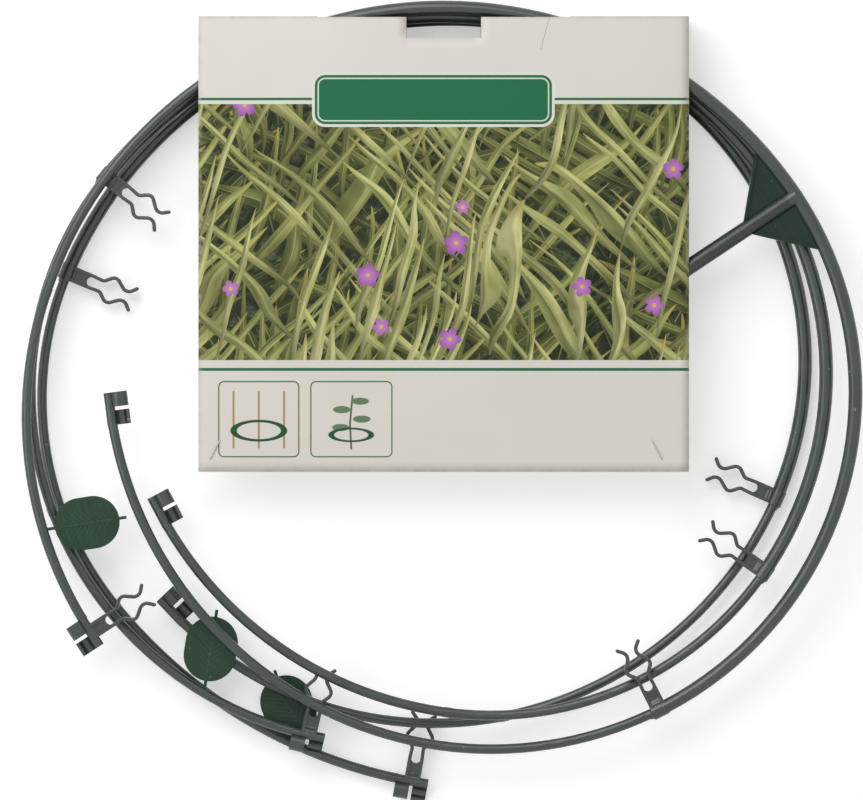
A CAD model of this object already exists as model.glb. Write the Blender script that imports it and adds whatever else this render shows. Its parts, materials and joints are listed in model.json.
import json
import math

import bmesh
import bpy
import numpy as np
from mathutils import Matrix, Vector


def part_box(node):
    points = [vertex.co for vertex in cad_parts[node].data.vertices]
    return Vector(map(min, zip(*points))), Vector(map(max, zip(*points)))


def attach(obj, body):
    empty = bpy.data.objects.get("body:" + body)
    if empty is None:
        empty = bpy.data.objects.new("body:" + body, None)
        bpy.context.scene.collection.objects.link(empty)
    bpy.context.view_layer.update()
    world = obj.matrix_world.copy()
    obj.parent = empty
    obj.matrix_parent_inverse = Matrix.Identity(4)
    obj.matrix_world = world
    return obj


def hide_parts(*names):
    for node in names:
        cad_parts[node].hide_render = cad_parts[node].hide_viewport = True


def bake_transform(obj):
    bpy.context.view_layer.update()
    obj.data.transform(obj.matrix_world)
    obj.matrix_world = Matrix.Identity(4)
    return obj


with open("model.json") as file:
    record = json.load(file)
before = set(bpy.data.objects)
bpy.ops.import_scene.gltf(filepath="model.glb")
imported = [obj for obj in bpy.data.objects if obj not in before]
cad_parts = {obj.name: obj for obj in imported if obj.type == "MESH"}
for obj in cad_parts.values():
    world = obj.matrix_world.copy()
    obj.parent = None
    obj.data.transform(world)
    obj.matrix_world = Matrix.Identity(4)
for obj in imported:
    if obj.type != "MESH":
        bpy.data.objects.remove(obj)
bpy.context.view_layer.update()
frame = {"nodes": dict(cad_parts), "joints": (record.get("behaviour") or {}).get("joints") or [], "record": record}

MM = 0.001
UP = np.array((0, 0, 1))
RINGS = ("top_ring", "middle_ring", "bottom_ring")
CLIPS = ("end_clip", "left_clip", "right_clip", "spoke_clip")
HANDS = ("left_finger", "right_finger")
# Points on each arc of a bent line, and the turn below which the line counts as straight
ARC_STEPS, STRAIGHT = 7, 1e-6

# Camera of the photograph: straight above, by the size of a pixel at the middle ring
PHOTO_WIDTH = 863
PIXEL = 0.477 * MM
EYE_HEIGHT = 3000 * MM
MIDDLE_LEVEL = 15.7 * MM
AIM = (-4.97 * MM, 1.33 * MM)
SENSOR = 36.0
NEAREST, FARTHEST = 0.01, 50.0

# Light of the sky, each lamp's place, size and power, and the table
SKY_LIGHT = 0.45
LAMPS = (("key_light", (-0.45, 0.75, 1.0), 1.0, 8.6),
         ("side_light", (-1.1, -0.15, 0.95), 0.6, 2.2),
         ("fill_light", (0.9, -0.6, 1.2), 1.0, 0.6))
TABLE_HALF, TABLE_DROP, TABLE_LIFT = 4.0, 0.3 * MM, 0.45
TABLE_TONE, TABLE_ROUGH = 0.8, 0.9

# Moulded finishes: dark, light and scuffed colour, and gloss
PLASTICS = {"ring_plastic": ((34, 48, 41), (56, 68, 61), (150, 155, 150), 0.75),
            "web_plastic": ((28, 47, 36), (38, 58, 46), (120, 132, 124), 0.2),
            "spoke_plastic": ((30, 43, 37), (46, 58, 51), (140, 146, 141), 0.5),
            "disc_plastic": ((37, 63, 46), (50, 76, 58), (110, 125, 115), 0.2),
            "vein_plastic": ((46, 72, 55), (60, 86, 67), (120, 134, 124), 0.3)}
# Noises of the plastic: clouds, grain, nicks and the patches where nicks show, and streaks along the hoop
CLOUD, GRAIN, NICK, PATCH = 38.0, 2600.0, 95.0, 700.0
STREAK_ACROSS, STREAK_ROUND = 900, 6
CLOUD_SHARE, SCUFF_SHARE = 0.55, 0.55
GRAIN_DEPTH, STREAK_DEPTH = 0.05 * MM, 0.12 * MM

# Staple wire: dark and light colour, and its streaks across and along a leg
STEEL = ((150, 140, 126), (205, 200, 190))
DRAWN_ACROSS, DRAWN_ALONG = 400, 4000

# Plain sides of the board: dark and light colour
BOARDS = {"card_back": ((196, 190, 178), (214, 209, 198)),
          "card_edge": ((186, 178, 164), (208, 201, 188))}
BACK_FIBRE, BACK_CLOUD, BACK_DEPTH = 1100.0, 30.0, 0.06 * MM
# Coated front: dark and light colour, noises of its fibres, clouds and rubbed edge, and depths of its bumps
FRONT_BOARD, FRONT_SHEEN = ((221, 215, 206), (235, 230, 222)), 0.15
FRONT_FIBRE, FRONT_CLOUD, RUB = 1400.0, 14.0, 260.0
FRONT_DEPTH, DENT_DEPTH, CREASE_DEPTH = 0.03 * MM, 0.4 * MM, 0.3 * MM

# Print on the card's front, in millimetres from its lower left corner: boxes as left, low, right, high
CARD_EDGE, EDGE_ROUND, EDGE_RUB, CARD_FOLD = (0, 0, 233, 216.5), 0.01, 1.2, 216.0
PICTURE, RULES = (53.0, 174.6), ((176.4, 177.6), (47.9, 49.3))
BANNER, BANNER_ROUND = (55.3, 165, 167.9, 188.4), 5
BANNER_RIM, BANNER_SOFT, BANNER_INSET, BANNER_LINE = 1.3, 0.15, 1.6, 0.35
FRAMES, FRAME_ROUND = ((9.7, 7.1, 47.7, 42.8), (53.4, 7.1, 91.9, 42.8)), 2.5
FRAME_LINE, FINE_SOFT = 0.3, 0.1
CANES, CANE_ENDS = (16.7, 28.7, 40.7), (11.5, 38)
CANE_RING, CANE_RING_LINE = (28.7, 19.5, 12.0, 4.6), 1.2
STEM_RING, STEM_LEAF = (72.6, 17.5, 9.5, 3.0), (4.2, 1.7)
STEM = ((72.6, 11), (72, 23), (73.2, 36))
STEM_LEAVES = ((67.6, 21), (77.6, 25), (68.1, 29.5), (76.9, 33.5))
CREASE = ((166.4, 216), (163.4, 205), (162.7, 201))
LINE, INK_SOFT = 0.9, 0.12
GREEN_INK = ((30, 104, 70), (42, 118, 82))
INKS = {"banner_rim": (232, 230, 222), "banner_line": (214, 222, 206), "frame": (64, 110, 78),
        "cane": (172, 142, 92), "ring": (40, 84, 56), "stem": (92, 104, 92), "stem_leaf": (104, 132, 96),
        "rubbed": (205, 200, 190), "fold": (176, 172, 164), "dim_half": (20, 32, 18),
        "midrib": (206, 214, 160), "leaf_root": (18, 28, 16), "leaf_tip": (184, 166, 92),
        "deep_shade": (14, 20, 14), "petal_heart": (206, 142, 204), "petal_rim": (160, 92, 172),
        "flower_eye": (226, 190, 70)}

# Leaves in the picture, back layers first: angle, width, length, sway, seed, dark and light colour
LEAF_LAYERS = ((64, 9, 70, 26, 1.3, (24, 30, 18), (68, 76, 42)),
               (118, 8, 62, 24, 4.1, (32, 40, 24), (92, 98, 54)),
               (31, 7, 75, 30, 7.7, (44, 54, 30), (116, 120, 64)),
               (152, 6.5, 80, 30, 11.2, (64, 70, 38), (146, 148, 82)),
               (84, 6, 72, 28, 15.9, (84, 92, 48), (174, 174, 100)),
               (48, 5.5, 90, 38, 19.4, (110, 116, 60), (202, 202, 124)),
               (135, 5, 84, 34, 23.8, (132, 138, 74), (222, 220, 148)),
               (72, 4.5, 76, 30, 28.3, (152, 156, 84), (236, 232, 170)))
# Share of leaves left out of the hindmost layer, and more for each one in front
LEAVES_OUT, MORE_OUT = 0.34, 0.045
# Shade in deep places over the hindmost layer, and less for each one in front
DEEP_SHARE, DEEP_LESS = 0.62, 0.06
# Ground behind the leaves: its colours by noise, and how wide its spots and the deep places are
GROUND = ((0.32, (18, 24, 18)), (0.5, (44, 52, 36)), (0.62, (86, 92, 62)), (0.74, (150, 150, 116)))
GROUND_SPOT, DEEP_SPOT = 7, 34
# Flowers: the grid they lie near, petals, share of places left empty, least radius and spread, and eye
FLOWER_CELL, FLOWER_SHIFT = 34.0, (3.3, 1.7)
PETALS, FLOWERS_OUT, FLOWER_R, FLOWER_MORE, FLOWER_EYE = 5, 0.62, 3.4, 2.6, 0.9

# Spring fingers of the cane clips
FINGER_THICK, CLIP_HEIGHT, FINGER_ROUND = 1.7 * MM, 5 * MM, 0.4 * MM
# Corners of a finger's wave from its hinge, along the clip and out from its middle, and their rounding
NECK, BULGE, PINCH, TIP = np.array(((5.4, 2.65), (10.2, 6.95), (17.6, 1.35), (21.5, 5.5))) * MM
WAVE_ROUND, FINGER_STEP = (2.4 * MM, 2.8 * MM, 3.4 * MM), 0.8 * MM
ROOT_OVERLAP, ROOT_SHRINK, ROOT_INSET = 2.2 * MM, 0.96, 0.1 * MM
# Bends of the rounded tip, in degrees from the finger's end
TIP_BENDS = (30, 55, 75)
# Fillet between a clip's web and its strand
WEB_LEN, WEB_THICK, FILLET_LEN, FILLET_HIGH = 8.7 * MM, 1.8 * MM, 2.2 * MM, 1.9 * MM
FILLET_BACK, FILLET_WIDE, FILLET_SUNK = 1.6 * MM, 5.2 * MM, 0.2 * MM

# Card sleeve
BOARD_THICK = 0.5 * MM
FOLD_R, BEND_R = 1.2 * MM, 9 * MM
NOTCH_W, NOTCH_DEPTH, LAP_LEN, LAP_GAP = 35.5 * MM, 10.5 * MM, 24 * MM, 0.3 * MM
SLIT = (-59.49 * MM, 61.14 * MM)
PUFF, WAVE, CARD_STEP = 1.1 * MM, 0.25 * MM, 5 * MM
# Turn of the waves over the card's width and height, in radians
WAVE_ACROSS, WAVE_ALONG = (9.5, 2.0), (-1.3, 5.2)

# Staples
WIRE, WIRE_BEND = 0.7 * MM, 0.45 * MM
STAPLE_W, LEG_GAP, WIRE_ROUND, WIRE_STEP = 10.5 * MM, 0.4 * MM, 0.2 * MM, 2 * MM

# Strand joints: the swell's reach along the strand, its height, and how deep its rim is sunk
STRAND_D, SWELL_LEN, SWELL_HIGH, SWELL_SUNK = 4.7 * MM, 1.0 * MM, 0.05 * MM, 0.02 * MM
# The taper from a collar: length, start inside the collar and below its rim, thin end's depth and curve
TAPER_LEN, COLLAR_D, TAPER_SUNK, TAPER_INSET = 2.2 * MM, 7.3 * MM, 0.6 * MM, 0.3 * MM
TAPER_END, TAPER_POWER, PROFILE_STEPS = 0.01 * MM, 2.2, 9
# How near a tail's end points are to the hooks or the bow that it runs into
HOOK_REACH, BOW_REACH = 0.6 * MM, 1.6 * MM

# Veins on the tie discs
DISC_THICK, PLATE_DEPTH = 2 * MM, 0.05 * MM
VEIN_HIGH, VEIN_WIDE, VEIN_PAIRS, VEIN_SLANT = 0.25 * MM, 0.5 * MM, 8, math.radians(48)
# Midrib by the disc's length, and side veins by its width; then a side vein by the midrib
RIB_SHARE, REACH_SHARE = 0.84, 0.36
SIDE_WIDE, SIDE_HIGH = 0.7, 0.94
# Row of side veins by the midrib's length: its span, its start, and where a vein has no length
ROW_SPAN, ROW_START, ROW_FADE = 0.8, -0.42, 0.62


# Shader maths


class Value:
    """A socket in a node tree, on which Python operators add Math nodes."""

    def __init__(self, shader, socket):
        self.shader, self.socket = shader, socket

    def math(self, operation, *others):
        sockets = {i: v for i, v in enumerate((self, *others))}
        return self.shader.node("ShaderNodeMath", {"operation": operation}, sockets)

    def __add__(self, other):
        return self.math("ADD", other)

    __radd__ = __add__

    def __sub__(self, other):
        return self.math("SUBTRACT", other)

    def __rsub__(self, other):
        return self.shader.node("ShaderNodeMath", {"operation": "SUBTRACT"}, {0: other, 1: self})

    def __mul__(self, other):
        return self.math("MULTIPLY", other)

    __rmul__ = __mul__

    def __truediv__(self, other):
        return self.math("DIVIDE", other)

    def __abs__(self):
        return self.math("ABSOLUTE")

    def __pow__(self, other):
        return self.math("POWER", other)

    def above(self, edge, soft):
        """0 below the edge and 1 above it, over a soft step."""
        settings = {"interpolation_type": "SMOOTHSTEP"}
        return self.shader.node("ShaderNodeMapRange", settings,
                                {"Value": self, "From Min": edge - soft, "From Max": edge + soft})

    def below(self, edge, soft):
        """1 below the edge and 0 above it."""
        return 1 - self.above(edge, soft)


class Shader:
    """A material's node tree, with a Principled surface and Object coordinates."""

    def __init__(self, name):
        self.material = bpy.data.materials.new(name)
        self.material.use_nodes = True
        self.tree = self.material.node_tree
        self.surface = self.tree.nodes["Principled BSDF"]
        self.place = self.node("ShaderNodeTexCoord", out="Object")
        self.x, self.y, self.z = self.split(self.place)

    def node(self, kind, settings=None, sockets=None, out=0):
        made = self.tree.nodes.new(kind)
        for name, value in (settings or {}).items():
            setattr(made, name, value)
        for name, value in (sockets or {}).items():
            self.feed(made.inputs[name], value)
        return Value(self, made.outputs[out])

    def feed(self, socket, value):
        if isinstance(value, Value):
            self.tree.links.new(value.socket, socket)
        else:
            socket.default_value = value

    def split(self, vector):
        parts = self.tree.nodes.new("ShaderNodeSeparateXYZ")
        self.feed(parts.inputs[0], vector)
        return [Value(self, o) for o in parts.outputs]

    def join(self, x, y, z=0.0):
        return self.node("ShaderNodeCombineXYZ", sockets={0: x, 1: y, 2: z})

    def noise(self, vector, scale, detail=3.0, rough=0.5):
        sockets = {"Vector": vector, "Scale": scale, "Detail": detail, "Roughness": rough}
        return self.node("ShaderNodeTexNoise", sockets=sockets)

    def mix(self, share, a, b):
        """Colour a where share is 0 and b where it is 1."""
        return self.node("ShaderNodeMix", {"data_type": "RGBA"}, {0: share, 6: a, 7: b}, out=2)

    def ramp(self, value, *stops):
        made = self.tree.nodes.new("ShaderNodeValToRGB")
        ramp = made.color_ramp
        while len(ramp.elements) < len(stops):
            ramp.elements.new(1.0)
        for element, (at, colour) in zip(ramp.elements, stops):
            element.position, element.color = at, colour
        self.feed(made.inputs[0], value)
        return Value(self, made.outputs[0])

    def bump(self, height, depth, normal=None):
        sockets = {"Height": height, "Strength": 1.0, "Distance": depth}
        if normal:
            sockets["Normal"] = normal
        return self.node("ShaderNodeBump", sockets=sockets)

    def set(self, **sockets):
        for name, value in sockets.items():
            self.feed(self.surface.inputs[name.replace("_", " ")], value)


def rgb(red, green, blue):
    """A colour as it looks on screen, from 0 to 255, made linear."""
    def linear(v):
        v /= 255
        return v / 12.92 if v <= 0.04045 else ((v + 0.055) / 1.055) ** 2.4
    return (linear(red), linear(green), linear(blue), 1.0)


def moulded_plastic(name, dark, light, scuff, gloss):
    """Dark garden plastic: cloudy colour, flow streaks along the hoop, fine grain and pale scuffs."""
    s = Shader(name)
    radius = s.node("ShaderNodeVectorMath", {"operation": "LENGTH"}, {0: s.join(s.x, s.y)}, out=1)
    turn = s.y.math("ARCTAN2", s.x)
    cloud = s.noise(s.place, CLOUD, 4.0)
    streak = s.noise(s.join(radius * STREAK_ACROSS, turn * STREAK_ROUND, s.z * STREAK_ACROSS), 1.0, 2.0)
    grain = s.noise(s.place, GRAIN, 2.0)
    tone = cloud * CLOUD_SHARE + streak * (1 - CLOUD_SHARE)
    colour = s.mix(tone.above(0.5, 0.22), rgb(*dark), rgb(*light))
    nick = s.node("ShaderNodeTexVoronoi", sockets={"Vector": s.place, "Scale": NICK, "Randomness": 1.0})
    worn = nick.below(0.07, 0.03) * s.noise(s.place, PATCH).above(0.52, 0.06)
    s.set(Base_Color=s.mix(worn * SCUFF_SHARE, colour, rgb(*scuff)))
    s.set(Roughness=streak * 0.14 + grain * 0.08 + worn * 0.2 + 0.13)
    s.set(Specular_IOR_Level=gloss)
    s.set(Normal=s.bump(grain, GRAIN_DEPTH, s.bump(streak, STREAK_DEPTH)))
    return s.material


def bright_wire():
    """Drawn steel wire with fine lengthwise streaks."""
    s = Shader("staple_wire")
    drawn = s.noise(s.join(s.x * DRAWN_ACROSS, s.y * DRAWN_ACROSS, s.z * DRAWN_ALONG), 1.0, 3.0)
    s.set(Base_Color=s.mix(drawn, *(rgb(*tone) for tone in STEEL)))
    s.set(Metallic=1.0, Roughness=drawn * 0.2 + 0.22)
    return s.material


class Print:
    """Flat shapes on the card's front, in millimetres from its lower left corner."""

    def __init__(self, s):
        self.s = s
        place = s.node("ShaderNodeUVMap", {"uv_map": "board"})
        u, v, _ = s.split(place)
        self.u, self.v = u * 1000, v * 1000

    def length(self, x, y):
        return (x * x + y * y) ** 0.5

    def box(self, left, low, right, high, r):
        """Distance out of a rounded box, below zero inside it."""
        x = abs(self.u - (left + right) / 2) - ((right - left) / 2 - r)
        y = abs(self.v - (low + high) / 2) - ((high - low) / 2 - r)
        outside = self.length(x.math("MAXIMUM", 0.0), y.math("MAXIMUM", 0.0))
        return outside + x.math("MAXIMUM", y).math("MINIMUM", 0.0) - r

    def band(self, low, high):
        """Mask of a strip across the whole card."""
        return self.v.above(low, INK_SOFT) * self.v.below(high, INK_SOFT)

    def stroke(self, points, wide):
        """Mask of a line through points."""
        mask = None
        for (x0, y0), (x1, y1) in zip(points, points[1:]):
            dx, dy = x1 - x0, y1 - y0
            px, py = self.u - x0, self.v - y0
            share = ((px * dx + py * dy) / (dx * dx + dy * dy)).math("MAXIMUM", 0.0).math("MINIMUM", 1.0)
            away = self.length(px - share * dx, py - share * dy).below(wide / 2, INK_SOFT)
            mask = away if mask is None else mask.math("MAXIMUM", away)
        return mask

    def oval(self, cu, cv, ru, rv, wide=None):
        """Mask of a filled oval, or of its outline."""
        off = (self.length((self.u - cu) / ru, (self.v - cv) / rv) - 1) * min(ru, rv)
        return off.below(0.0, INK_SOFT) if wide is None else abs(off).below(wide / 2, INK_SOFT)

    def inked(self, colour, mask, ink):
        """A colour with an ink laid over it where the mask is."""
        return self.s.mix(mask, colour, rgb(*INKS[ink]))

    def blades(self, angle, wide, long, sway, seed):
        """One layer of long pointed leaves at an angle: mask, random tone, place across and along."""
        s, c, n = self.s, math.cos(math.radians(angle)), math.sin(math.radians(angle))
        along = self.u * c + self.v * n
        across = self.v * c - self.u * n
        bend = s.noise(s.join(along / long + seed, across / (wide * 7), seed), 1.0, 1.0) - 0.5
        lane = (across + bend * sway) / wide
        row = lane.math("FLOOR")
        off = lane - row - 0.5
        start = s.node("ShaderNodeTexWhiteNoise", {"noise_dimensions": "2D"}, {"Vector": s.join(row, seed)})
        run = along / long + start * 5
        turn = run.math("FLOOR")
        tone = s.node("ShaderNodeTexWhiteNoise", {"noise_dimensions": "3D"},
                      {"Vector": s.join(row, turn, seed + 0.5)})
        part = run - turn
        taper = (part * math.pi).math("SINE") ** 0.7
        edge = taper * (tone * 0.25 + 0.22) - abs(off)
        return edge.above(0.0, 0.03), tone, off, part

    def leaves(self):
        """Picture of dense strap leaves with small five-petalled flowers."""
        s = self.s
        murk = s.noise(s.join(self.u / GROUND_SPOT, self.v / GROUND_SPOT), 1.0, 6.0, 0.7)
        colour = s.ramp(murk, *((at, rgb(*tone)) for at, tone in GROUND))
        deep = s.noise(s.join(self.u / DEEP_SPOT, self.v / DEEP_SPOT, 5.0), 1.0, 2.0).below(0.47, 0.09)
        for i, (*lie, dark, light) in enumerate(LEAF_LAYERS):
            mask, tone, off, part = self.blades(*lie)
            shown = mask * tone.above(LEAVES_OUT + MORE_OUT * i, 0.005)
            gloss = s.noise(s.join(part * 3 + tone * 9, off * 2), 1.0, 2.0)
            leaf = s.mix(gloss.above(0.5, 0.25), rgb(*dark), rgb(*light))
            shades = {"dim_half": off.above(0.0, 0.06) * 0.4,
                      "midrib": abs(off).below(0.025, 0.02) * 0.35,
                      "leaf_root": part.below(0.25, 0.2) * 0.55,
                      "leaf_tip": part.above(0.9, 0.08) * 0.5,
                      "deep_shade": deep * (DEEP_SHARE - DEEP_LESS * i)}
            for ink, share in shades.items():
                leaf = self.inked(leaf, share, ink)
            colour = s.mix(shown, colour, leaf)
        return self.flowers(colour)

    def flowers(self, colour):
        """Small flowers with five petals, scattered over a colour."""
        s, cell = self.s, FLOWER_CELL
        x, y = self.u / cell + FLOWER_SHIFT[0], self.v / cell + FLOWER_SHIFT[1]
        spots = s.tree.nodes.new("ShaderNodeTexVoronoi")
        spots.voronoi_dimensions = "2D"
        spots.inputs["Scale"].default_value = 1.0
        s.feed(spots.inputs["Vector"], s.join(x, y))
        at_x, at_y, _ = s.split(Value(s, spots.outputs["Position"]))
        pick, turn, size = s.split(Value(s, spots.outputs["Color"]))
        dx, dy = (x - at_x) * cell, (y - at_y) * cell
        r = self.length(dx, dy)
        bearing = dy.math("ARCTAN2", dx)
        lobe = abs((bearing * (PETALS / 2) + turn * 6).math("COSINE"))
        reach = (lobe ** 0.6 * 0.5 + 0.5) * (size * FLOWER_MORE + FLOWER_R)
        petal = (reach - r).above(0.0, 0.15) * pick.above(FLOWERS_OUT, 0.01)
        pale = self.inked(rgb(*INKS["petal_heart"]), r / 5.5, "petal_rim")
        colour = s.mix(petal, colour, pale)
        return self.inked(colour, (r - FLOWER_EYE).below(0.0, 0.15) * petal, "flower_eye")

    def banner(self, colour, green):
        """Bare green banner with a pale rim and a fine inner line."""
        away = self.box(*BANNER, BANNER_ROUND)
        colour = self.inked(colour, away.below(BANNER_RIM, BANNER_SOFT), "banner_rim")
        colour = self.s.mix(away.below(0.0, BANNER_SOFT), colour, green)
        return self.inked(colour, abs(away + BANNER_INSET).below(BANNER_LINE, FINE_SOFT), "banner_line")

    def drawings(self, colour):
        """Two small framed drawings: a ring on three canes, and a ring round a stem with leaves."""
        for box in FRAMES:
            away = abs(self.box(*box, FRAME_ROUND))
            colour = self.inked(colour, away.below(FRAME_LINE, FINE_SOFT), "frame")
        for x in CANES:
            colour = self.inked(colour, self.stroke([(x, y) for y in CANE_ENDS], LINE), "cane")
        colour = self.inked(colour, self.oval(*CANE_RING, CANE_RING_LINE), "ring")
        colour = self.inked(colour, self.stroke(STEM, LINE), "stem")
        for place in STEM_LEAVES:
            colour = self.inked(colour, self.oval(*place, *STEM_LEAF), "stem_leaf")
        return self.inked(colour, self.oval(*STEM_RING, LINE), "ring")


def card_front():
    """Pale coated board, printed with a leaf picture, green rules, a plain banner and two small drawings."""
    s = Shader("card_front")
    p = Print(s)
    fibre = s.noise(s.place, FRONT_FIBRE, 4.0, 0.6)
    cloud = s.noise(s.place, FRONT_CLOUD, 3.0)
    board = s.mix(cloud, *(rgb(*tone) for tone in FRONT_BOARD))
    green = s.mix(fibre, *(rgb(*tone) for tone in GREEN_INK))
    colour = s.mix(p.band(*PICTURE), board, p.leaves())
    for rule in RULES:
        colour = s.mix(p.band(*rule), colour, green)
    colour = p.drawings(p.banner(colour, green))
    edge = abs(p.box(*CARD_EDGE, EDGE_ROUND)).below(EDGE_RUB, EDGE_RUB)
    rubbed = edge * s.noise(s.place, RUB, 3.0).above(0.52, 0.12)
    colour = p.inked(colour, rubbed * 0.5, "rubbed")
    fold = abs(p.v - CARD_FOLD).below(0.9, 0.8)
    colour = p.inked(colour, fold * 0.3, "fold")
    s.set(Base_Color=colour)
    s.set(Roughness=fibre * 0.12 + cloud * 0.1 + 0.4)
    s.set(Specular_IOR_Level=FRONT_SHEEN)
    dents = s.bump(cloud, DENT_DEPTH, s.bump(p.stroke(CREASE, LINE), CREASE_DEPTH))
    s.set(Normal=s.bump(fibre, FRONT_DEPTH, dents))
    return s.material


def plain_board(name, dark, light):
    """Unprinted grey board with visible fibres."""
    s = Shader(name)
    fibre = s.noise(s.place, BACK_FIBRE, 5.0, 0.65)
    cloud = s.noise(s.place, BACK_CLOUD, 3.0)
    s.set(Base_Color=s.mix(fibre * 0.6 + cloud * 0.4, rgb(*dark), rgb(*light)))
    s.set(Roughness=fibre * 0.15 + 0.72)
    s.set(Normal=s.bump(fibre, BACK_DEPTH))
    return s.material


# Shapes


def new_piece(name, verts, faces, material, sharp=40.0):
    """A new object, smooth except where its faces meet at more than the sharp angle."""
    mesh = bpy.data.meshes.new(name)
    mesh.from_pydata([tuple(v) for v in verts], [], faces)
    mesh.validate()
    mesh.shade_smooth()
    mesh.set_sharp_from_angle(angle=math.radians(sharp))
    mesh.materials.append(material)
    piece = bpy.data.objects.new(name, mesh)
    bpy.context.scene.collection.objects.link(piece)
    return piece


def sweep(loops):
    """Vertices and faces of a closed skin through loops of points, capped at both ends."""
    count, last = len(loops[0]), (len(loops) - 1) * len(loops[0])
    faces = []
    for start in range(0, last, count):
        for j in range(count):
            a, b = start + j, start + (j + 1) % count
            faces.append((a, b, b + count, a + count))
    faces.append(tuple(reversed(range(count))))
    faces.append(tuple(range(last, last + count)))
    return np.concatenate(loops), faces


def closed_piece(name, skins, material, sharp):
    """One piece out of closed skins, each turned outwards."""
    verts, faces = [], []
    for skin, skin_faces in skins:
        faces += [tuple(i + len(verts) for i in f) for f in skin_faces]
        verts += list(skin)
    piece = new_piece(name, verts, faces, material, sharp)
    form = bmesh.new()
    form.from_mesh(piece.data)
    bmesh.ops.recalc_face_normals(form, faces=form.faces)
    form.to_mesh(piece.data)
    form.free()
    return piece


def tangents(line):
    """The way that a line runs at each of its points."""
    ways = np.gradient(line, axis=0)
    return ways / np.linalg.norm(ways, axis=1)[:, None]


def spread_axis(offsets, rank):
    """The axis along which points spread, from the least, rank 0, upwards."""
    return np.linalg.eigh(np.cov(offsets.T))[1][:, rank]


def node_points(node):
    """Every vertex of a solid from the model."""
    return np.array([v.co for v in frame["nodes"][node].data.vertices])


def distinct(points):
    """Each place once, to a thousandth of a millimetre."""
    return np.unique(np.round(points, 6), axis=0)


def rounded_section(thick, high, r, steps=4):
    """Points round a rectangle with rounded corners, from -Y and -Z."""
    points = []
    corners = ((1, -1, -90), (1, 1, 0), (-1, 1, 90), (-1, -1, 180))
    for sy, sz, start in corners:
        for a in np.radians(np.linspace(start, start + 90, steps)):
            points.append((sy * (thick / 2 - r) + r * math.cos(a), sz * (high / 2 - r) + r * math.sin(a)))
    return np.array(points)


def turned_skin(centre, way, profile, steps=24):
    """Skin of a shape turned about a line, from its distances along the line and its radii."""
    side = np.cross(way, UP)
    side /= np.linalg.norm(side)
    up = np.cross(side, way)
    angles = np.linspace(0, 2 * math.pi, steps, endpoint=False)
    circle = np.cos(angles)[:, None] * side + np.sin(angles)[:, None] * up
    return sweep([centre + way * s + r * circle for s, r in profile])


def rounded_path(points, radii, step):
    """Points along a bent line, every step or so, with an arc of its own radius at each bend."""
    points = [np.array(p, float) for p in points]
    path = [points[0]]
    for start, bend, end, radius in zip(points, points[1:], points[2:], radii):
        before, after = bend - start, end - bend
        before, after = before / np.linalg.norm(before), after / np.linalg.norm(after)
        turn = math.acos(np.clip(np.dot(before, after), -1, 1))
        if turn < STRAIGHT:
            path.append(bend)
            continue
        trim = radius * math.tan(turn / 2)
        inwards = (after - before) / np.linalg.norm(after - before)
        centre = bend + inwards * radius / math.cos(turn / 2)
        first, last = bend - before * trim - centre, bend + after * trim - centre
        for t in np.linspace(0, 1, ARC_STEPS):
            spoke = (1 - t) * first + t * last
            path.append(centre + spoke / np.linalg.norm(spoke) * radius)
    path.append(points[-1])
    fine = [path[0]]
    for a, b in zip(path, path[1:]):
        count = max(1, math.ceil(np.linalg.norm(b - a) / step))
        fine += [a + (b - a) * (j + 1) / count for j in range(count)]
    return np.array(fine)


def applied(piece):
    """Turns a piece with modifiers into a plain mesh."""
    graph = bpy.context.evaluated_depsgraph_get()
    mesh = bpy.data.meshes.new_from_object(piece.evaluated_get(graph))
    piece.modifiers.clear()
    piece.data = mesh


# Pieces


def finger_line(root):
    """Middle line of a finger: out of the root, in to the neck, round the cane, in to the pinch and out."""
    line = [root - np.array((ROOT_OVERLAP, 0)), root - np.array((ROOT_OVERLAP / 2, 0))]
    line.extend(rounded_path([root, NECK, BULGE, PINCH, TIP], WAVE_ROUND, FINGER_STEP))
    return np.array(line)


def spring_finger(name, middle, hinge, across, along, material):
    """Skin of a finger in its clip's frame: along is towards the cane, across towards the finger's side."""
    line = finger_line(np.array((0.0, np.dot(hinge - middle, across) - ROOT_INSET)))
    section = rounded_section(FINGER_THICK, CLIP_HEIGHT, FINGER_ROUND)
    ways = tangents(line)
    shares = [ROOT_SHRINK] * 2 + [1.0] * (len(line) - 2)
    stations = list(zip(line, ways, shares, shares))
    tip = ways[-1]
    for a in np.radians(TIP_BENDS):
        stations.append((line[-1] + tip * FINGER_THICK / 2 * math.sin(a), tip, math.cos(a), 1.0))
    loops = []
    for p, t, wide, high in stations:
        flat = p + section[:, :1] * wide * np.array((-t[1], t[0]))
        loops.append(middle + flat[:, :1] * along + flat[:, 1:] * across + section[:, 1:] * high * UP)
    return closed_piece(name, [sweep(loops)], material, sharp=50.0)


def clip_places(ring):
    """Each clip's name, hinges, the middle between them, the way apart and the way towards the cane."""
    joints = {j["name"]: np.array(j["pos_m"]) for j in frame["joints"]}
    for clip in CLIPS:
        hinges = [joints[f"{ring}_{clip}_{hand}_bend"] for hand in HANDS]
        apart = (hinges[0] - hinges[1]) / np.linalg.norm(hinges[0] - hinges[1])
        yield clip, hinges, (hinges[0] + hinges[1]) / 2, apart, np.array((apart[1], -apart[0], 0.0))


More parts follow.
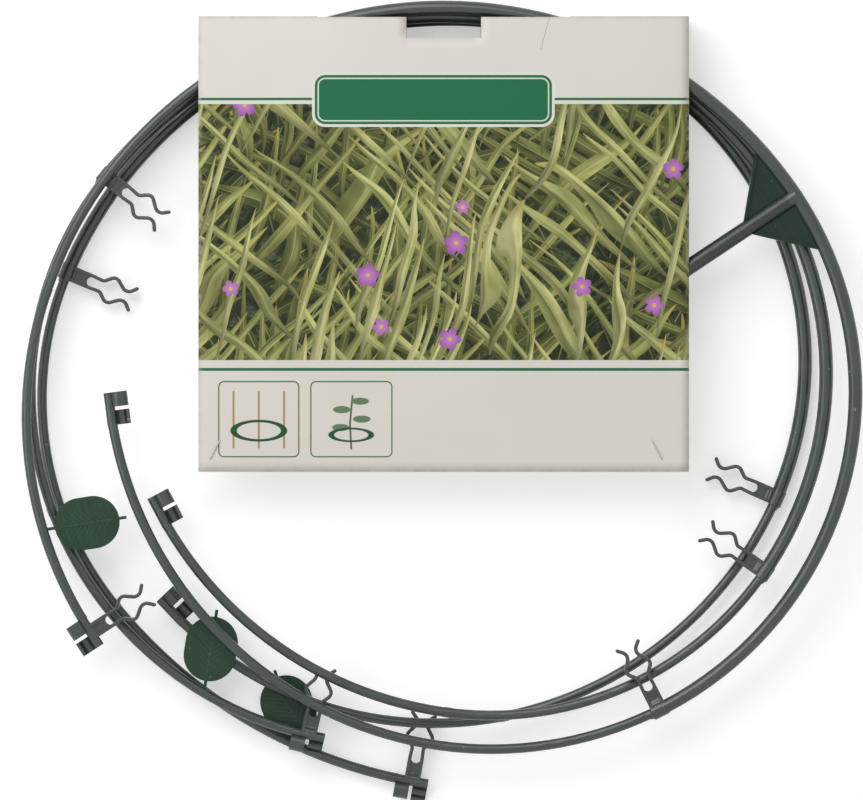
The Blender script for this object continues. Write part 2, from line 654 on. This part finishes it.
def clip_fillets(material):
    """Hollow fillets that lead from each clip's web up and down to its strand."""
    low = WEB_THICK / 2 - FILLET_SUNK
    rise = FILLET_HIGH - WEB_THICK / 2
    curve = [(FILLET_LEN * t, WEB_THICK / 2 + rise * (1 - t) ** 2) for t in np.linspace(0, 1, ARC_STEPS)]
    outline = [(-FILLET_BACK, low), (-FILLET_BACK, FILLET_HIGH), *curve, (FILLET_LEN, low)]
    for ring in RINGS:
        skins = []
        for _, _, middle, apart, along in clip_places(ring):
            for up in (UP, -UP):
                flat = np.array([along * (x - WEB_LEN) + up * z for x, z in outline])
                skins.append(sweep([middle + flat + apart * y for y in (-FILLET_WIDE / 2, FILLET_WIDE / 2)]))
        piece = closed_piece(f"{ring}_clip_fillets", skins, material, sharp=40.0)
        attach(piece, ring)


def clip_fingers(material):
    """Every clip's two fingers, each bending out of its root."""
    for ring in RINGS:
        for clip, hinges, middle, apart, along in clip_places(ring):
            for hand, hinge, across in zip(HANDS, hinges, (apart, -apart)):
                node = f"{ring}_{clip}_{hand}"
                piece = spring_finger(f"{node}_spring", middle, hinge, across, along, material)
                start, end = hinge - along * FINGER_THICK / 2, hinge + along * 2 * FINGER_THICK
                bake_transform(piece)
                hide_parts(node)


def strand_end(node, neighbour, reach):
    """Centre of the end of a strand that lies within reach of its neighbour, and the way towards that."""
    a, b = (distinct(node_points(n)) for n in (node, neighbour))
    rim = np.array([p for p in a if np.linalg.norm(b - p, axis=1).min() < reach])
    centre = rim.mean(axis=0)
    way = spread_axis(rim - centre, 0)
    behind = a[np.argsort(np.linalg.norm(a - centre, axis=1))][: 3 * len(rim)].mean(axis=0)
    return centre, way if np.dot(centre - behind, way) > 0 else -way


def strand_joints(material):
    """Moulded swells where the tails run into their hooks, and tapers where they leave the collars."""
    r = STRAND_D / 2
    swell = [(SWELL_LEN * t, r - SWELL_SUNK + (SWELL_HIGH + SWELL_SUNK) * math.cos(t * math.pi / 2))
             for t in np.linspace(-1, 1, PROFILE_STEPS)]
    rise = COLLAR_D / 2 - TAPER_INSET - r
    taper = [(TAPER_SUNK - TAPER_LEN * t, r - TAPER_END + rise * (1 - t) ** TAPER_POWER)
             for t in np.linspace(0, 1, PROFILE_STEPS)]
    for ring in RINGS:
        skins = []
        for tail in ("outer", "inner"):
            for other, reach, profile in ((f"{tail}_hooks", HOOK_REACH, swell), ("bow", BOW_REACH, taper)):
                centre, way = strand_end(f"{ring}_{tail}_tail", f"{ring}_{other}", reach)
                skins.append(turned_skin(centre, way, profile))
        piece = closed_piece(f"{ring}_strand_joints", skins, material, sharp=60.0)
        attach(piece, ring)


def front_swell(x, y, low, high):
    """How far the front stands up: a slight crown over the bundle, and the waves of handled board."""
    u = (x - low[0]) / (high[0] - low[0])
    v = (y - low[1]) / (high[1] - low[1])
    crown = 4 * u * (1 - u) * 4 * v * (1 - v)
    waves = 1 + math.sin(np.dot(WAVE_ACROSS, (u, v))) * math.cos(np.dot(WAVE_ALONG, (u, v)))
    return crown * (PUFF + WAVE * waves)


def card_grid(low, high):
    """The board's middle as vertices, faces, and the place of each face's corners on the flat sheet."""
    half = BOARD_THICK / 2
    front, lap = high[2] - half, high[2] - 1.5 * BOARD_THICK - LAP_GAP
    points = node_points("card_sleeve")
    bend, notch = points[points[:, 2] < half][:, 1].min(), high[1] - NOTCH_DEPTH
    line = [(low[1], front), (notch, front), (high[1] - half, front), (high[1] - half, half), (notch, half),
            (bend, half), (low[1] + LAP_LEN, lap), (low[1], lap)]
    path = rounded_path(line, [0, FOLD_R, FOLD_R, 0, BEND_R, BEND_R], CARD_STEP)
    middle = (low[0] + high[0]) / 2
    edges = sorted([low[0], SLIT[0], middle - NOTCH_W / 2, middle + NOTCH_W / 2, SLIT[1], high[0]])
    xs = rounded_path([(x, 0) for x in edges], [0] * 4, CARD_STEP)[:, 0]
    along = np.concatenate([[0], np.cumsum(np.linalg.norm(np.diff(path, axis=0), axis=1))])
    verts, faces, loops = [], [], []
    for y, z in path:
        for x in xs:
            verts.append((x, y, z + front_swell(x, y, low, high) if z > lap + BOARD_THICK else z))
    for i in range(len(path) - 1):
        y, z = (path[i] + path[i + 1]) / 2
        for j in range(len(xs) - 1):
            x = (xs[j] + xs[j + 1]) / 2
            in_notch = abs(x - middle) < NOTCH_W / 2 and y > notch
            in_slit = SLIT[0] < x < SLIT[1] and y > notch and BOARD_THICK < z < front - half
            if in_notch or in_slit:
                continue
            corners = ((i, j), (i, j + 1), (i + 1, j + 1), (i + 1, j))
            faces.append([a * len(xs) + b for a, b in corners])
            loops += [(xs[b] - low[0], along[a]) for a, b in corners]
    return verts, faces, loops


def card_sheet(materials):
    """The folded board: front, fold with its slit and notch, back, and the lap behind the front."""
    verts, faces, loops = card_grid(*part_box("card_sleeve"))
    sheet = new_piece("folded_card", verts, faces, materials[0], sharp=75.0)
    for material in materials[1:]:
        sheet.data.materials.append(material)
    layer = sheet.data.uv_layers.new(name="board")
    layer.data.foreach_set("uv", np.array(loops).ravel())
    board = sheet.modifiers.new("board", "SOLIDIFY")
    board.thickness, board.offset = BOARD_THICK, 0.0
    board.material_offset, board.material_offset_rim = 1, 2
    applied(sheet)
    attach(sheet, "card")
    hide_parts("card_sleeve")


def staple_wires(material):
    """Two staples of bent wire, with the crown on the front and the legs clinched behind the lap."""
    points = node_points("staples")
    low, high = points[:, 2].min() + WIRE / 2, points[:, 2].max() - WIRE / 2
    reach = (STAPLE_W - WIRE) / 2
    line = [(-LEG_GAP, low), (-reach, low), (-reach, high), (reach, high), (reach, low), (LEG_GAP, low)]
    path = rounded_path(line, [WIRE_BEND] * 4, WIRE_STEP)
    section = rounded_section(WIRE, WIRE, WIRE_ROUND)
    skins = []
    for sign in (-1, 1):
        corners = distinct(points[(points[:, 0] * sign > 0) & (points[:, 2] > high)][:, :2])
        centre = (corners.min(axis=0) + corners.max(axis=0)) / 2
        spread = spread_axis(corners - centre, 1)
        across = np.array((-spread[1], spread[0]))
        loops = []
        for (a, z), t in zip(path, tangents(path)):
            flat = centre + (a - section[:, :1] * t[1]) * spread + section[:, 1:] * across
            loops.append(np.column_stack([flat, z + section[:, 0] * t[0]]))
        skins.append(sweep(loops))
    staples = closed_piece("staple_wire", skins, material, sharp=50.0)
    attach(staples, "card")
    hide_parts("staples")


def vein_tree(material):
    """Geometry nodes for a leaf's veins: a midrib and slanted side veins in pairs along it."""
    tree = bpy.data.node_groups.new("leaf_veins", "GeometryNodeTree")
    sizes = {}
    for name, kind in (("Length", "Float"), ("Reach", "Float"), ("Width", "Float"), ("Height", "Float"),
                       ("Slant", "Float"), ("Pairs", "Int")):
        socket = tree.interface.new_socket(name, in_out="INPUT", socket_type=f"NodeSocket{kind}")
        sizes[name] = socket.identifier
    tree.interface.new_socket("Veins", in_out="OUTPUT", socket_type="NodeSocketGeometry")
    group = tree.nodes.new("NodeGroupInput")
    end = tree.nodes.new("NodeGroupOutput")

    def node(kind, settings=None, **sockets):
        made = tree.nodes.new(kind)
        for key, value in (settings or {}).items():
            setattr(made, key, value)
        for key, value in sockets.items():
            socket = made.inputs[int(key[1:])] if key[1:].isdigit() else made.inputs[key.replace("_", " ")]
            if isinstance(value, bpy.types.NodeSocket):
                tree.links.new(value, socket)
            else:
                socket.default_value = value
        return made.outputs

    def maths(operation, a, b):
        return node("ShaderNodeMath", {"operation": operation}, i0=a, i1=b)[0]

    size = group.outputs
    joined = tree.nodes.new("GeometryNodeJoinGeometry")
    rib = node("GeometryNodeMeshCube", Size=node(
        "ShaderNodeCombineXYZ", X=size["Length"], Y=size["Width"], Z=size["Height"])[0])[0]
    tree.links.new(rib, joined.inputs[0])
    step = maths("DIVIDE", maths("MULTIPLY", size["Length"], ROW_SPAN), size["Pairs"])
    first = maths("MULTIPLY", size["Length"], ROW_START)
    spots = node("GeometryNodeMeshLine", Count=size["Pairs"],
                 Start_Location=node("ShaderNodeCombineXYZ", X=first)[0],
                 Offset=node("ShaderNodeCombineXYZ", X=step)[0])[0]
    side = node("GeometryNodeMeshCube", Size=node(
        "ShaderNodeCombineXYZ", X=size["Reach"], Y=maths("MULTIPLY", size["Width"], SIDE_WIDE),
        Z=maths("MULTIPLY", size["Height"], SIDE_HIGH))[0])[0]
    half = maths("MULTIPLY", size["Reach"], 0.5)
    moved = node("GeometryNodeTransform", Geometry=side,
                 Translation=node("ShaderNodeCombineXYZ", X=half)[0])[0]
    along = node("GeometryNodeInputPosition")[0]
    split = node("ShaderNodeSeparateXYZ", Vector=along)
    off = maths("DIVIDE", split[0], maths("MULTIPLY", size["Length"], ROW_FADE))
    short = maths("SUBTRACT", 1.0, maths("MULTIPLY", off, off))
    for way in (1.0, -1.0):
        turned = node("ShaderNodeCombineXYZ", Z=maths("MULTIPLY", size["Slant"], way))[0]
        placed = node("GeometryNodeInstanceOnPoints", Points=spots, Instance=moved, Rotation=turned,
                      Scale=node("ShaderNodeCombineXYZ", X=short, Y=1.0, Z=1.0)[0])[0]
        tree.links.new(placed, joined.inputs[0])
    real = node("GeometryNodeRealizeInstances", Geometry=joined.outputs[0])[0]
    done = node("GeometryNodeSetMaterial", Geometry=real, Material=material)[0]
    tree.links.new(done, end.inputs[0])
    return tree, sizes


def disc_veins(material):
    """Raised leaf veins on both faces of every tie disc."""
    tree, sizes = vein_tree(material)
    for ring in RINGS:
        points = node_points(f"{ring}_tie_disc")
        top = points[:, 2].max()
        plate = distinct(points[points[:, 2] > top - PLATE_DEPTH][:, :2])
        centre = (plate.min(axis=0) + plate.max(axis=0)) / 2
        spread = spread_axis(plate - plate.mean(axis=0), 1)
        length = np.ptp((plate - centre) @ spread)
        wide = np.ptp((plate - centre) @ np.array((-spread[1], spread[0])))
        piece = bpy.data.objects.new(f"{ring}_disc_veins", bpy.data.meshes.new(f"{ring}_disc_veins"))
        bpy.context.scene.collection.objects.link(piece)
        veins = piece.modifiers.new("veins", "NODES")
        veins.node_group = tree
        values = {"Length": RIB_SHARE * length, "Reach": REACH_SHARE * wide, "Width": VEIN_WIDE,
                  "Height": DISC_THICK + 2 * VEIN_HIGH, "Slant": VEIN_SLANT, "Pairs": VEIN_PAIRS}
        for name, value in values.items():
            veins[sizes[name]] = value
        applied(piece)
        turn = Matrix.Rotation(math.atan2(spread[1], spread[0]), 4, "Z")
        piece.data.transform(Matrix.Translation((*centre, top - DISC_THICK / 2)) @ turn)
        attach(piece, ring)


# Stage


def camera():
    """The photograph's eye, looking straight down."""
    lens = bpy.data.cameras.new("photo_camera")
    lens.sensor_fit, lens.sensor_width = "HORIZONTAL", SENSOR
    lens.lens = (EYE_HEIGHT - MIDDLE_LEVEL) / PIXEL / PHOTO_WIDTH * SENSOR
    lens.clip_start, lens.clip_end = NEAREST, FARTHEST
    view = bpy.data.objects.new("photo_camera", lens)
    view.location = (*AIM, EYE_HEIGHT)
    bpy.context.scene.collection.objects.link(view)
    bpy.context.scene.camera = view


def soft_box(name, place, size, power):
    """A square lamp that points at the middle of the object."""
    lamp = bpy.data.lights.new(name, "AREA")
    lamp.shape, lamp.size, lamp.energy = "SQUARE", size, power
    box = bpy.data.objects.new(name, lamp)
    box.location = place
    box.rotation_euler = (-Vector(place)).to_track_quat("-Z", "Y").to_euler()
    bpy.context.scene.collection.objects.link(box)


def seen_rays(tree):
    """1 for rays from the eye, straight or by way of gloss or glass, and 0 for those that carry light."""
    rays = tree.nodes.new("ShaderNodeLightPath").outputs
    seen = rays["Is Camera Ray"]
    for name in ("Is Glossy Ray", "Is Transmission Ray"):
        either = tree.nodes.new("ShaderNodeMath")
        either.operation = "MAXIMUM"
        tree.links.new(seen, either.inputs[0])
        tree.links.new(rays[name], either.inputs[1])
        seen = either.outputs[0]
    return seen


def sky(light):
    """World that lights at a plain level and shows white behind the object."""
    world = bpy.data.worlds.new("studio")
    bpy.context.scene.world = world
    world.use_nodes = True
    nodes, links = world.node_tree.nodes, world.node_tree.links
    strength = nodes.new("ShaderNodeMapRange")
    strength.inputs["To Min"].default_value = light
    links.new(seen_rays(world.node_tree), strength.inputs["Value"])
    links.new(strength.outputs[0], nodes["Background"].inputs["Strength"])
    nodes["Background"].inputs["Color"].default_value = (1, 1, 1, 1)


def floor():
    """Pale table that keeps the shadow and is white where none falls."""
    ways = ((-1, -1), (1, -1), (1, 1), (-1, 1))
    corners = [(x * TABLE_HALF, y * TABLE_HALF, -TABLE_DROP) for x, y in ways]
    s = Shader("white_table")
    s.set(Base_Color=(TABLE_TONE, TABLE_TONE, TABLE_TONE, 1.0), Roughness=TABLE_ROUGH)
    seen = Value(s, seen_rays(s.tree))
    lift = s.node("ShaderNodeEmission", sockets={"Color": (1, 1, 1, 1), "Strength": TABLE_LIFT})
    both = s.node("ShaderNodeAddShader", sockets={0: Value(s, s.surface.outputs[0]), 1: lift})
    shown = s.node("ShaderNodeMixShader", sockets={0: seen, 1: Value(s, s.surface.outputs[0]), 2: both})
    s.tree.links.new(shown.socket, s.tree.nodes["Material Output"].inputs["Surface"])
    table = new_piece("table", corners, [(0, 1, 2, 3)], s.material)


camera()
sky(SKY_LIGHT)
for lamp in LAMPS:
    soft_box(*lamp)
floor()
bpy.context.scene.view_settings.view_transform = "Standard"

plastics = {name: moulded_plastic(name, *finish) for name, finish in PLASTICS.items()}
ring_plastic = plastics["ring_plastic"]
wire = bright_wire()
boards = [card_front(), *(plain_board(name, *tones) for name, tones in BOARDS.items())]
by_slot = {"ring": ring_plastic, "disc": plastics["disc_plastic"], "staple": wire, "card": boards[1]}
by_piece = {"gusset": plastics["web_plastic"], "spoke": plastics["spoke_plastic"]}
for row in frame["record"]["subparts"]:
    finishes = frame["nodes"][row["node"]].data.materials
    finishes.clear()
    finishes.append(by_piece.get(row["node"].split("_")[-1], by_slot[row["material_slot"]]))
clip_fingers(ring_plastic)
clip_fillets(ring_plastic)
card_sheet(boards)
staple_wires(wire)
disc_veins(plastics["vein_plastic"])
strand_joints(ring_plastic)
